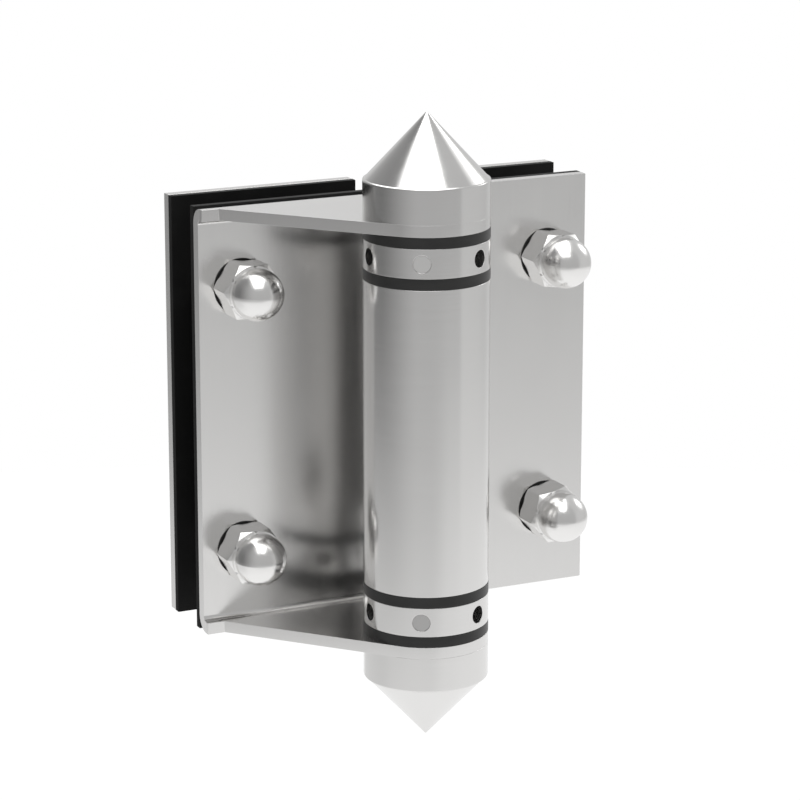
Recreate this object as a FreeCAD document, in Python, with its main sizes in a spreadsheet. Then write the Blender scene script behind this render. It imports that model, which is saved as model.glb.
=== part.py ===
"""Glass to glass gate hinge: a fixed leaf with two ears, a barrel on a gate leaf, two tension collars."""
import FreeCAD, Part
import math
import os
import Sketcher

doc = FreeCAD.newDocument("glass_hinge")
sheet = doc.addObject("Spreadsheet::Sheet", "sizes")
sheet.Label = "sizes"

# Every driving size in millimetres, angles in degrees, counts as they are.
SIZES = [
    ("barrel_od", 30.0),
    ("barrel_wall", 3.0),
    ("barrel_len", 74.0),
    ("ring_thick", 2.7),
    ("collar_tall", 7.0),
    ("sheet_thick", 2.8),
    ("gasket_thick", 1.9),
    ("glass_thick", 12.0),
    ("plate_back", 28.0),
    ("leaf_wide", 48.5),
    ("inner_edge", 2.4),
    ("leaf_gap", 6.5),
    ("bolt_inset", 10.8),
    ("bolt_rise", 32.5),
    ("ear_lip", 2.5),
    ("ear_short", 4.4),
    ("bend_outer", 4.0),
    ("web_tall", 66.0),
    ("cap_wall", 8.5),
    ("cap_shoulder", 0.5),
    ("cone_tall", 15.6),
    ("spindle_dia", 12.0),
    ("spindle_end", 8.0),
    ("stub_dia", 10.0),
    ("stub_flats", 8.0),
    ("stub_reach", 7.0),
    ("bush_wall", 2.0),
    ("hub_end", 25.0),
    ("bush_end", 27.0),
    ("plug_tall", 8.0),
    ("wire_dia", 2.0),
    ("coil_turns", 8.0),
    ("tang_dia", 1.8),
    ("tang_deep", 3.0),
    ("bar_hole", 4.2),
    ("bar_count", 6.0),
    ("pin_turn", -30.0),
    ("pin_sunk", 0.15),
    ("pin_tip", 3.2),
    ("groove_deep", 0.9),
    ("groove_wide", 4.4),
    ("bolt_dia", 8.0),
    ("bolt_neck", 8.6),
    ("thread_dia", 7.6),
    ("head_dia", 14.0),
    ("head_tall", 4.4),
    ("head_top", 7.6),
    ("head_rim", 0.8),
    ("socket_flats", 5.0),
    ("socket_deep", 2.6),
    ("plate_hole", 8.8),
    ("gasket_hole", 11.0),
    ("nut_flats", 13.0),
    ("nut_hex", 7.5),
    ("nut_tall", 16.0),
    ("nut_chamfer", 0.9),
    ("neck_dia", 11.22),
    ("neck_sunk", 0.5),
    ("nut_bore", 10.0),
    ("washer_dia", 13.7),
    ("washer_thick", 0.45),
    ("run_gap", 0.05),
    ("loose_gap", 0.15),
    ("trim", 2.0),
]


def words(x):
    return x.text if isinstance(x, Size) else repr(float(x))


def number(x):
    return x.value if isinstance(x, Size) else float(x)


class Size:
    """A size with its present value and the expression that ties it to the sheet."""

    def __init__(self, value, text):
        self.value = value
        self.text = text

    def __add__(self, other):
        return Size(self.value + number(other), "(" + self.text + " + " + words(other) + ")")

    def __sub__(self, other):
        return Size(self.value - number(other), "(" + self.text + " - " + words(other) + ")")

    def __mul__(self, other):
        return Size(self.value * number(other), "(" + self.text + " * " + words(other) + ")")

    def __truediv__(self, other):
        return Size(self.value / number(other), "(" + self.text + " / " + words(other) + ")")

    def __neg__(self):
        return Size(-self.value, "(0 - " + self.text + ")")


size = {}
for row, (alias, value) in enumerate(SIZES, start=1):
    sheet.set("A" + str(row), alias)
    sheet.set("B" + str(row), str(value))
    sheet.setAlias("B" + str(row), alias)
    size[alias] = Size(value, "sizes." + alias)
doc.recompute()

# Levels above the middle of the barrel.
barrel_r = size["barrel_od"] / 2
bore_r = barrel_r - size["barrel_wall"]
barrel_end = size["barrel_len"] / 2
collar_low = barrel_end + size["ring_thick"]
collar_mid = collar_low + size["collar_tall"] / 2
collar_high = collar_low + size["collar_tall"]
ear_in = collar_high + size["ring_thick"]
ear_out = ear_in + size["sheet_thick"]
leaf_tall = ear_out * 2
spindle_r = size["spindle_dia"] / 2
stub_r = size["stub_dia"] / 2
hub_r = bore_r - size["bush_wall"]
coil_r = (spindle_r + hub_r) / 2
wire_r = size["wire_dia"] / 2

# Depths behind the barrel's axis.
plate_front = size["plate_back"]
plate_rear = plate_front + size["sheet_thick"]
glass_front = plate_rear + size["gasket_thick"]
glass_rear = glass_front + size["glass_thick"]
clamp_front = glass_rear + size["gasket_thick"]
clamp_rear = clamp_front + size["sheet_thick"]
lip_front = plate_front - size["ear_lip"]
bend_inner = size["bend_outer"] - size["sheet_thick"]

# Places across the hinge.
fixed_in = size["inner_edge"]
fixed_out = fixed_in - size["leaf_wide"]
gate_in = fixed_in + size["leaf_gap"]
gate_out = gate_in + size["leaf_wide"]
fixed_bolt = fixed_out + size["bolt_inset"]
gate_bolt = gate_out - size["bolt_inset"]

ROLES = {"XY": "XY_Plane", "XZ": "XZ_Plane", "YZ": "YZ_Plane"}


def origin_item(body, role):
    for item in body.Origin.OriginFeatures:
        if item.Role == role:
            return item
    raise RuntimeError("no origin item " + role)


def bind(item, name, amount):
    item.setExpression(name, words(amount))


def new_body(label, x=0.0, z=0.0, turn=None, y=None):
    """A body whose own Z axis is the barrel's axis, or one placed at a fastener."""
    body = doc.addObject("PartDesign::Body", label)
    body.Label = label
    bind(body, ".Placement.Base.x", x)
    bind(body, ".Placement.Base.y", -glass_front if y is None else y - glass_front)
    bind(body, ".Placement.Base.z", z)
    if turn is not None:
        axis, angle = turn
        body.Placement = FreeCAD.Placement(body.Placement.Base, FreeCAD.Rotation(axis, 1.0))
        bind(body, ".Placement.Rotation.Angle", angle)
    return body


def new_sketch(body, plane, offset=None):
    sketch = body.newObject("Sketcher::SketchObject", body.Label + "_sketch")
    sketch.AttachmentSupport = [(origin_item(body, ROLES[plane]), "")]
    sketch.MapMode = "FlatFace"
    if offset is not None:
        bind(sketch, ".AttachmentOffset.Base.z", offset)
    return sketch


def fix_x(sketch, geo, pos, amount):
    value = number(amount)
    if abs(value) < 1e-9:
        sketch.addConstraint(Sketcher.Constraint("PointOnObject", geo, pos, -2))
        return
    ends = (-1, 1, geo, pos) if value > 0 else (geo, pos, -1, 1)
    index = sketch.addConstraint(Sketcher.Constraint("DistanceX", *ends, abs(value)))
    if isinstance(amount, Size):
        bind(sketch, "Constraints[" + str(index) + "]", amount if value > 0 else -amount)


def fix_y(sketch, geo, pos, amount):
    value = number(amount)
    if abs(value) < 1e-9:
        sketch.addConstraint(Sketcher.Constraint("PointOnObject", geo, pos, -1))
        return
    ends = (-1, 1, geo, pos) if value > 0 else (geo, pos, -1, 1)
    index = sketch.addConstraint(Sketcher.Constraint("DistanceY", *ends, abs(value)))
    if isinstance(amount, Size):
        bind(sketch, "Constraints[" + str(index) + "]", amount if value > 0 else -amount)


def arc_between(a, b, centre_x):
    """The short arc from a to b with its centre at that x, and which of its ends is a."""
    (ax, ay), (bx, by) = a, b
    centre_y = ((bx - centre_x) ** 2 - (ax - centre_x) ** 2 + by ** 2 - ay ** 2) / (2 * (by - ay))
    radius = math.hypot(ax - centre_x, ay - centre_y)
    start = math.atan2(ay - centre_y, ax - centre_x)
    end = math.atan2(by - centre_y, bx - centre_x)
    first = 1
    if (end - start) % (2 * math.pi) > math.pi:
        start, end = end, start
        first = 2
    circle = Part.Circle(FreeCAD.Vector(centre_x, centre_y, 0), FreeCAD.Vector(0, 0, 1), radius)
    return Part.ArcOfCircle(circle, start, end), first


def draw(sketch, corners, arcs=None):
    """A closed outline through the corners. arcs maps a corner's index to the x of the centre of the arc that follows."""
    arcs = arcs or {}
    spots = [(number(x), number(y)) for x, y in corners]
    count = len(corners)
    ends = []
    for i in range(count):
        a, b = spots[i], spots[(i + 1) % count]
        if i in arcs:
            shape, first = arc_between(a, b, number(arcs[i]))
            geo = sketch.addGeometry(shape, False)
        else:
            line = Part.LineSegment(FreeCAD.Vector(a[0], a[1], 0), FreeCAD.Vector(b[0], b[1], 0))
            geo = sketch.addGeometry(line, False)
            first = 1
        ends.append((geo, first, 3 - first))
    for i in range(count):
        geo, _, last = ends[i]
        following, first, _ = ends[(i + 1) % count]
        sketch.addConstraint(Sketcher.Constraint("Coincident", geo, last, following, first))
    for i in range(count):
        geo, first, _ = ends[i]
        fix_x(sketch, geo, first, corners[i][0])
        fix_y(sketch, geo, first, corners[i][1])
    for i, centre_x in arcs.items():
        fix_x(sketch, ends[i][0], 3, centre_x)


def draw_circle(sketch, x, y, diameter):
    centre = FreeCAD.Vector(number(x), number(y), 0)
    circle = Part.Circle(centre, FreeCAD.Vector(0, 0, 1), number(diameter) / 2)
    geo = sketch.addGeometry(circle, False)
    fix_x(sketch, geo, 3, x)
    fix_y(sketch, geo, 3, y)
    index = sketch.addConstraint(Sketcher.Constraint("Diameter", geo, number(diameter)))
    if isinstance(diameter, Size):
        bind(sketch, "Constraints[" + str(index) + "]", diameter)


def draw_flatted(sketch, radius, half_flat):
    """A round outline with two flats, as across a keyed stub."""
    r, h = number(radius), number(half_flat)
    rise = math.asin(math.sqrt(1 - (h / r) ** 2))
    circle = Part.Circle(FreeCAD.Vector(0, 0, 0), FreeCAD.Vector(0, 0, 1), r)
    top = sketch.addGeometry(Part.ArcOfCircle(circle, rise, math.pi - rise), False)
    low = sketch.addGeometry(Part.ArcOfCircle(circle, math.pi + rise, 2 * math.pi - rise), False)
    up = r * math.sin(rise)
    left = sketch.addGeometry(Part.LineSegment(FreeCAD.Vector(-h, up, 0), FreeCAD.Vector(-h, -up, 0)), False)
    right = sketch.addGeometry(Part.LineSegment(FreeCAD.Vector(h, -up, 0), FreeCAD.Vector(h, up, 0)), False)
    for a, pa, b, pb in ((top, 2, left, 1), (left, 2, low, 1), (low, 2, right, 1), (right, 2, top, 1)):
        sketch.addConstraint(Sketcher.Constraint("Coincident", a, pa, b, pb))
    sketch.addConstraint(Sketcher.Constraint("Coincident", top, 3, -1, 1))
    sketch.addConstraint(Sketcher.Constraint("Coincident", low, 3, -1, 1))
    index = sketch.addConstraint(Sketcher.Constraint("Radius", top, r))
    bind(sketch, "Constraints[" + str(index) + "]", radius)
    sketch.addConstraint(Sketcher.Constraint("Vertical", left))
    sketch.addConstraint(Sketcher.Constraint("Vertical", right))
    fix_x(sketch, left, 1, -half_flat)
    fix_x(sketch, right, 1, half_flat)
    sketch.addConstraint(Sketcher.Constraint("Equal", top, low))


def pad(body, sketch, length, both_ways=False, reverse=False):
    feature = body.newObject("PartDesign::Pad", body.Label + "_pad")
    feature.Profile = sketch
    bind(feature, "Length", length)
    if both_ways:
        feature.SideType = "Symmetric"
    feature.Reversed = reverse
    body.Tip = feature
    return feature


def pocket(body, sketch, length=None, reverse=False):
    """A pocket through everything both ways, or one of that depth."""
    feature = body.newObject("PartDesign::Pocket", body.Label + "_pocket")
    feature.Profile = sketch
    if length is None:
        feature.Type = "ThroughAll"
        feature.SideType = "Symmetric"
    else:
        bind(feature, "Length", length)
    feature.Reversed = reverse
    body.Tip = feature
    return feature


def revolve(body, sketch):
    feature = body.newObject("PartDesign::Revolution", body.Label + "_turned")
    feature.Profile = sketch
    feature.ReferenceAxis = (sketch, ["V_Axis"])
    feature.Angle = 360
    body.Tip = feature
    return feature


def mirrored(label, source):
    """The same piece below the middle of the barrel."""
    piece = doc.addObject("Part::Mirroring", label)
    piece.Label = label
    piece.Source = source
    piece.Base = FreeCAD.Vector(0, 0, 0)
    piece.Normal = FreeCAD.Vector(0, 0, 1)
    return piece


def group(label, pieces):
    whole = doc.addObject("Part::Compound", label)
    whole.Label = label
    whole.Links = pieces
    return whole


nodes = []


def box_outline(x_low, x_high, y_low, y_high):
    return [(x_low, y_low), (x_high, y_low), (x_high, y_high), (x_low, y_high)]


def bolt_holes(body, x, diameter):
    sketch = new_sketch(body, "XZ")
    draw_circle(sketch, x, size["bolt_rise"], diameter)
    draw_circle(sketch, x, -size["bolt_rise"], diameter)
    pocket(body, sketch)


def slab(label, x_low, x_high, y_low, y_high, bolt_x, hole):
    """A flat plate or gasket of the leaf's full height with its two bolt holes."""
    body = new_body(label)
    sketch = new_sketch(body, "XY")
    draw(sketch, box_outline(x_low, x_high, y_low, y_high))
    pad(body, sketch, leaf_tall, both_ways=True)
    bolt_holes(body, bolt_x, hole)
    nodes.append(body)
    return body


# Fixed leaf: one folded sheet with a plate behind the barrel and an ear above and below it.
bracket = new_body("fixed_bracket")
ear_front = -(barrel_r + size["trim"])
fold_y = plate_rear - size["bend_outer"]
fold_z = ear_out - size["bend_outer"]
inner_y = plate_front - bend_inner
inner_z = ear_in - bend_inner
fold = new_sketch(bracket, "YZ", fixed_out)
draw(
    fold,
    [
        (plate_rear, -fold_z),
        (plate_rear, fold_z),
        (fold_y, ear_out),
        (ear_front, ear_out),
        (ear_front, ear_in),
        (inner_y, ear_in),
        (plate_front, inner_z),
        (plate_front, -inner_z),
        (inner_y, -ear_in),
        (ear_front, -ear_in),
        (ear_front, -ear_out),
        (fold_y, -ear_out),
    ],
    {1: fold_y, 5: inner_y, 7: inner_y, 11: fold_y},
)
pad(bracket, fold, barrel_r + size["trim"] - fixed_out)

# The ear's outline from above: a short straight edge, then straight to the barrel's round, and back to the plate.
plan = new_sketch(bracket, "XY")
draw(
    plan,
    box_outline(
        fixed_out - size["trim"] * 2,
        barrel_r + size["trim"] * 2,
        ear_front - size["trim"],
        plate_rear + size["trim"] * 2,
    ),
)
keep = [
    (fixed_out - size["trim"], lip_front),
    (fixed_out - size["trim"], plate_rear + size["trim"]),
    (fixed_in, plate_rear + size["trim"]),
    (fixed_in, lip_front),
]
corner = (fixed_out + size["ear_short"], lip_front)


def touch(point, side):
    """The touching point on the barrel's round seen from a point, on one side of it."""
    px, py = number(point[0]), number(point[1])
    reach = math.hypot(px, py)
    angle = math.atan2(py, px) + side * math.acos(number(barrel_r) / reach)
    return number(barrel_r) * math.cos(angle), number(barrel_r) * math.sin(angle), angle


tx, ty, t_angle = touch(keep[3], -1)
ux, uy, u_angle = touch(corner, 1)
spots = [FreeCAD.Vector(number(x), number(y), 0) for x, y in keep]
lines = []
for a, b in ((0, 1), (1, 2), (2, 3)):
    lines.append(plan.addGeometry(Part.LineSegment(spots[a], spots[b]), False))
lines.append(plan.addGeometry(Part.LineSegment(spots[3], FreeCAD.Vector(tx, ty, 0)), False))
round_end = Part.Circle(FreeCAD.Vector(0, 0, 0), FreeCAD.Vector(0, 0, 1), number(barrel_r))
arc = plan.addGeometry(Part.ArcOfCircle(round_end, u_angle - 2 * math.pi, t_angle), False)
corner_spot = FreeCAD.Vector(number(corner[0]), number(corner[1]), 0)
slope = plan.addGeometry(Part.LineSegment(FreeCAD.Vector(ux, uy, 0), corner_spot), False)
short = plan.addGeometry(Part.LineSegment(corner_spot, spots[0]), False)
for a, pa, b, pb in (
    (lines[0], 2, lines[1], 1),
    (lines[1], 2, lines[2], 1),
    (lines[2], 2, lines[3], 1),
    (slope, 2, short, 1),
    (short, 2, lines[0], 1),
):
    plan.addConstraint(Sketcher.Constraint("Coincident", a, pa, b, pb))
plan.addConstraint(Sketcher.Constraint("Coincident", arc, 3, -1, 1))
plan.addConstraint(Sketcher.Constraint("Tangent", lines[3], 2, arc, 2))
plan.addConstraint(Sketcher.Constraint("Tangent", slope, 1, arc, 1))
for i in range(3):
    fix_x(plan, lines[i], 1, keep[i][0])
    fix_y(plan, lines[i], 1, keep[i][1])
fix_x(plan, lines[3], 1, keep[3][0])
fix_y(plan, lines[3], 1, keep[3][1])
fix_x(plan, short, 1, corner[0])
fix_y(plan, short, 1, corner[1])
radius_index = plan.addConstraint(Sketcher.Constraint("Radius", arc, number(barrel_r)))
bind(plan, "Constraints[" + str(radius_index) + "]", barrel_r)
pocket(bracket, plan)
bolt_holes(bracket, fixed_bolt, size["plate_hole"])
keyway = new_sketch(bracket, "XY")
draw_flatted(keyway, stub_r + size["run_gap"], size["stub_flats"] / 2 + size["run_gap"])
pocket(bracket, keyway)
nodes.append(bracket)

# Gaskets and clamping plates of both leaves.
slab("fixed_front_gasket", fixed_out, fixed_in, plate_rear, glass_front, fixed_bolt, size["gasket_hole"])
slab("fixed_back_gasket", fixed_out, fixed_in, glass_rear, clamp_front, fixed_bolt, size["gasket_hole"])
slab("fixed_back_plate", fixed_out, fixed_in, clamp_front, clamp_rear, fixed_bolt, size["bolt_neck"])
slab("gate_front_gasket", gate_in, gate_out, plate_rear, glass_front, gate_bolt, size["gasket_hole"])
slab("gate_back_gasket", gate_in, gate_out, glass_rear, clamp_front, gate_bolt, size["gasket_hole"])
slab("gate_back_plate", gate_in, gate_out, clamp_front, clamp_rear, gate_bolt, size["bolt_neck"])

# Gate leaf: a plate with a tab folded forward to the barrel, cut round where it is welded to it.
leaf = new_body("gate_plate")
tab_in = gate_in + size["sheet_thick"]
bend_x = gate_in + size["bend_outer"]
inner_x = tab_in + bend_inner
tab_front = barrel_r * 0.55
profile = new_sketch(leaf, "XY")
draw(
    profile,
    [
        (gate_in, tab_front),
        (tab_in, tab_front),
        (tab_in, plate_front - bend_inner),
        (inner_x, plate_front),
        (gate_out, plate_front),
        (gate_out, plate_rear),
        (bend_x, plate_rear),
        (gate_in, plate_rear - size["bend_outer"]),
    ],
    {2: inner_x, 6: bend_x},
)
pad(leaf, profile, leaf_tall, both_ways=True)
bend_cut = new_sketch(leaf, "XZ", -(plate_rear + size["trim"]))
web_half = size["web_tall"] / 2
draw(bend_cut, box_outline(gate_in - size["trim"], bend_x, web_half, ear_out + size["trim"]))
draw(bend_cut, box_outline(gate_in - size["trim"], bend_x, -(ear_out + size["trim"]), -web_half))
pocket(leaf, bend_cut)
weld_round = new_sketch(leaf, "XY")
draw_circle(weld_round, 0.0, 0.0, size["barrel_od"])
pocket(leaf, weld_round)
bolt_holes(leaf, gate_bolt, size["plate_hole"])
nodes.append(leaf)

# Barrel tube with its middle plug, where both springs are anchored.
tube = new_body("barrel_tube")
tube_sketch = new_sketch(tube, "XY")
draw_circle(tube_sketch, 0.0, 0.0, size["barrel_od"])
draw_circle(tube_sketch, 0.0, 0.0, bore_r * 2)
pad(tube, tube_sketch, size["barrel_len"], both_ways=True)
nodes.append(tube)

TURN = (FreeCAD.Vector(0, 0, 1), size["pin_turn"])
plug = new_body("barrel_plug", turn=TURN)
plug_sketch = new_sketch(plug, "XY")
draw_circle(plug_sketch, 0.0, 0.0, bore_r * 2)
draw_circle(plug_sketch, coil_r, 0.0, size["tang_dia"])
pad(plug, plug_sketch, size["plug_tall"], both_ways=True)
nodes.append(plug)


def turned(label, corners, arcs=None, turn=None):
    """A piece turned about the barrel's axis."""
    body = new_body(label, turn=turn)
    sketch = new_sketch(body, "XZ")
    draw(sketch, corners, arcs)
    revolve(body, sketch)
    return body


def ring(inner, outer, low, high):
    return [(inner, low), (outer, low), (outer, high), (inner, high)]


# Pointed cap, bored for the spindle's stub.
cap_top = ear_out + size["cap_wall"]
cap_tip = cap_top + size["cone_tall"]
cone_r = barrel_r - size["cap_shoulder"]
stub_end = ear_out + size["stub_reach"]
cap = turned(
    "top_cap",
    [
        (stub_r, ear_out),
        (barrel_r, ear_out),
        (barrel_r, cap_top - size["cap_shoulder"]),
        (cone_r, cap_top),
        (0.0, cap_tip),
        (0.0, stub_end + size["pin_sunk"]),
        (stub_r, stub_end + size["pin_sunk"]),
    ],
    {2: cone_r},
)
nodes.append(cap)
nodes.append(mirrored("bottom_cap", cap))

# Spindle: a round shaft with a ring groove for the locking pin, keyed through the ear, threaded into the cap.
groove_r = spindle_r - size["groove_deep"]
groove_low = collar_mid - size["groove_wide"] / 2
groove_high = collar_mid + size["groove_wide"] / 2
spindle = turned(
    "top_spindle",
    [
        (0.0, size["spindle_end"]),
        (spindle_r, size["spindle_end"]),
        (spindle_r, groove_low),
        (groove_r, groove_low),
        (groove_r, groove_high),
        (spindle_r, groove_high),
        (spindle_r, ear_in),
        (0.0, ear_in),
    ],
)
key = new_sketch(spindle, "XY", ear_in)
draw_flatted(key, stub_r, size["stub_flats"] / 2)
pad(spindle, key, size["sheet_thick"])
stub = new_sketch(spindle, "XY", ear_out)
draw_circle(stub, 0.0, 0.0, size["stub_dia"])
pad(spindle, stub, size["stub_reach"])
nodes.append(spindle)
nodes.append(mirrored("bottom_spindle", spindle))

# Washer between collar and ear, and the flanged bush in the barrel's end.
washer = turned("top_ear_washer", ring(spindle_r + size["loose_gap"], barrel_r, collar_high, ear_in))
nodes.append(washer)
nodes.append(mirrored("bottom_ear_washer", washer))
bush_r = hub_r + size["run_gap"]
bush = turned(
    "top_bush",
    [
        (bush_r, size["bush_end"]),
        (bore_r, size["bush_end"]),
        (bore_r, barrel_end),
        (barrel_r, barrel_end),
        (barrel_r, collar_low),
        (bush_r, collar_low),
    ],
)
nodes.append(bush)
nodes.append(mirrored("bottom_bush", bush))

# Tension collar: six radial holes for a bar, and a hub down into the barrel that holds the spring's end.
collar = turned(
    "top_collar",
    [
        (spindle_r + size["run_gap"], size["hub_end"]),
        (hub_r, size["hub_end"]),
        (hub_r, collar_low),
        (barrel_r, collar_low),
        (barrel_r, collar_high),
        (spindle_r + size["run_gap"], collar_high),
    ],
    turn=TURN,
)
bar_sketch = new_sketch(collar, "XZ")
draw_circle(bar_sketch, 0.0, collar_mid, size["bar_hole"])
bar_cut = pocket(collar, bar_sketch, size["barrel_od"])
bar_cut.Reversed = True
bars = collar.newObject("PartDesign::PolarPattern", "top_collar_pattern")
bars.Originals = [bar_cut]
bars.Axis = (origin_item(collar, "Z_Axis"), [""])
bars.Angle = 360
bind(bars, "Occurrences", size["bar_count"])
collar.Tip = bars
tang_sketch = new_sketch(collar, "XY", size["hub_end"])
draw_circle(tang_sketch, coil_r, 0.0, size["tang_dia"])
pocket(collar, tang_sketch, size["tang_deep"], reverse=True)
nodes.append(collar)
nodes.append(mirrored("bottom_collar", collar))

# Locking pin, flush in one of the collar's holes, its tip in the spindle's ring groove.
pin = new_body("top_lock_pin", turn=TURN)
pin_sketch = new_sketch(pin, "XY", collar_mid)
pin_r = size["bar_hole"] / 2
tip_r = size["pin_tip"] / 2
pin_face = barrel_r - size["pin_sunk"]
pin_end = groove_r + size["pin_sunk"]
pin_step = spindle_r + size["loose_gap"]
draw(
    pin_sketch,
    [
        (0.0, -pin_face),
        (pin_r, -pin_face),
        (pin_r, -pin_step),
        (tip_r, -pin_step),
        (tip_r, -pin_end),
        (0.0, -pin_end),
    ],
)
revolve(pin, pin_sketch)
nodes.append(pin)
nodes.append(mirrored("bottom_lock_pin", pin))

# Torsion spring between the plug and the collar's hub, with a straight tang at each end.
spring = new_body("top_spring", turn=TURN)
coil_low = size["plug_tall"] / 2 + wire_r
coil_high = size["hub_end"] - wire_r
coil_sketch = new_sketch(spring, "XZ")
draw_circle(coil_sketch, coil_r, coil_low, size["wire_dia"])
coil = spring.newObject("PartDesign::AdditiveHelix", "top_spring_coil")
coil.Profile = coil_sketch
coil.ReferenceAxis = (coil_sketch, ["V_Axis"])
coil.Mode = 2
bind(coil, "Height", coil_high - coil_low)
bind(coil, "Turns", size["coil_turns"])
spring.Tip = coil
low_tang = new_sketch(spring, "XY", coil_low)
draw_circle(low_tang, coil_r, 0.0, size["tang_dia"])
pad(spring, low_tang, wire_r + size["tang_deep"], reverse=True)
high_tang = new_sketch(spring, "XY", coil_high)
draw_circle(high_tang, coil_r, 0.0, size["tang_dia"])
pad(spring, high_tang, wire_r + size["tang_deep"])
nodes.append(spring)
nodes.append(mirrored("bottom_spring", spring))


def hexagon(sketch, flats):
    """A hexagon with a corner on the sketch's level line."""
    r = flats / math.sqrt(3)
    draw(
        sketch,
        [
            (r, 0.0),
            (r / 2, flats / 2),
            (-(r / 2), flats / 2),
            (-r, 0.0),
            (-(r / 2), -(flats / 2)),
            (r / 2, -(flats / 2)),
        ],
    )


def acorn_nut(label, x, z, angle):
    body = new_body(label, x, z, (FreeCAD.Vector(0, 1, 0), angle), plate_front - size["washer_thick"])
    hex_sketch = new_sketch(body, "XZ")
    hexagon(hex_sketch, size["nut_flats"])
    pad(body, hex_sketch, size["nut_hex"])
    flat_r = size["nut_flats"] / 2
    point_r = size["nut_flats"] / math.sqrt(3)
    edge = new_sketch(body, "XY")
    draw(
        edge,
        [
            (flat_r, -(size["nut_hex"] + size["trim"])),
            (point_r + size["trim"], -(size["nut_hex"] + size["trim"])),
            (point_r + size["trim"], -(size["nut_hex"] - size["nut_chamfer"])),
            (point_r, -(size["nut_hex"] - size["nut_chamfer"])),
            (flat_r, -size["nut_hex"]),
        ],
    )
    shave = body.newObject("PartDesign::Groove", label + "_chamfer")
    shave.Profile = edge
    shave.ReferenceAxis = (edge, ["V_Axis"])
    shave.Angle = 360
    body.Tip = shave
    neck_r = size["neck_dia"] / 2
    bulb = new_sketch(body, "XY")
    draw(
        bulb,
        [
            (0.0, -(size["nut_hex"] / 2)),
            (neck_r, -(size["nut_hex"] / 2)),
            (neck_r, -(size["nut_hex"] - size["neck_sunk"])),
            (0.0, -size["nut_tall"]),
        ],
        {2: 0.0},
    )
    revolve(body, bulb)
    bore = new_sketch(body, "XZ")
    draw_circle(bore, 0.0, 0.0, size["thread_dia"])
    pocket(body, bore, size["nut_bore"], reverse=True)
    return body


def thin_washer(label, x, z):
    body = new_body(label, x, z, None, plate_front)
    sketch = new_sketch(body, "XZ")
    draw_circle(sketch, 0.0, 0.0, size["washer_dia"])
    draw_circle(sketch, 0.0, 0.0, size["bolt_dia"])
    pad(body, sketch, size["washer_thick"])
    return body


def clamp_bolt(label, x, z):
    """Button head behind the clamping plate, plain shank through the glass, thread in the nut."""
    body = new_body(label, x, z, None, clamp_rear)
    head_r = size["head_dia"] / 2
    neck_r = size["bolt_neck"] / 2
    shank_r = size["bolt_dia"] / 2
    thread_r = size["thread_dia"] / 2
    shank_end = size["sheet_thick"] + size["gasket_thick"] + size["glass_thick"] + size["gasket_thick"] / 2
    to_plate = size["sheet_thick"] * 2 + size["gasket_thick"] * 2 + size["glass_thick"]
    bolt_end = to_plate + size["washer_thick"] + size["nut_bore"] - size["trim"] / 2
    sketch = new_sketch(body, "XY")
    draw(
        sketch,
        [
            (0.0, size["head_tall"]),
            (size["head_top"] / 2, size["head_tall"]),
            (head_r, size["head_rim"]),
            (head_r, 0.0),
            (neck_r, 0.0),
            (neck_r, -size["sheet_thick"]),
            (shank_r, -size["sheet_thick"]),
            (shank_r, -shank_end),
            (thread_r, -shank_end),
            (thread_r, -bolt_end),
            (0.0, -bolt_end),
        ],
        {1: 0.0},
    )
    revolve(body, sketch)
    socket = new_sketch(body, "XZ", -size["head_tall"])
    hexagon(socket, size["socket_flats"])
    pocket(body, socket, size["socket_deep"], reverse=True)
    return body


TURNS = {"fixed_upper": 4.0, "fixed_lower": -1.0, "gate_upper": 4.0, "gate_lower": -12.0}
for leaf_name, bolt_x in (("fixed", fixed_bolt), ("gate", gate_bolt)):
    nuts, washers, bolts = [], [], []
    for end, rise in (("upper", size["bolt_rise"]), ("lower", -size["bolt_rise"])):
        place = leaf_name + "_" + end
        nuts.append(acorn_nut(place + "_nut", bolt_x, rise, TURNS[place]))
        washers.append(thin_washer(place + "_washer", bolt_x, rise))
        bolts.append(clamp_bolt(place + "_bolt", bolt_x, rise))
    nodes.append(group(leaf_name + "_acorn_nuts", nuts))
    nodes.append(group(leaf_name + "_nut_washers", washers))
    nodes.append(group(leaf_name + "_clamp_bolts", bolts))

doc.recompute()

for item in doc.Objects:
    if "Invalid" in item.State or "Error" in item.State:
        raise RuntimeError(item.Label + " did not build: " + str(item.State))
os.makedirs("parts", exist_ok=True)
for node in nodes:
    shape = node.Shape
    if shape.isNull() or not shape.isValid() or not shape.Solids:
        raise RuntimeError(node.Label + " has no valid solid")
    shape.exportStep("parts/" + node.Label + ".step")
    box = shape.BoundBox
    print(
        node.Label,
        len(shape.Solids),
        "solids, volume",
        round(shape.Volume, 1),
        "x",
        round(box.XMin, 2),
        round(box.XMax, 2),
        "y",
        round(box.YMin, 2),
        round(box.YMax, 2),
        "z",
        round(box.ZMin, 2),
        round(box.ZMax, 2),
    )
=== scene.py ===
import math

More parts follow.
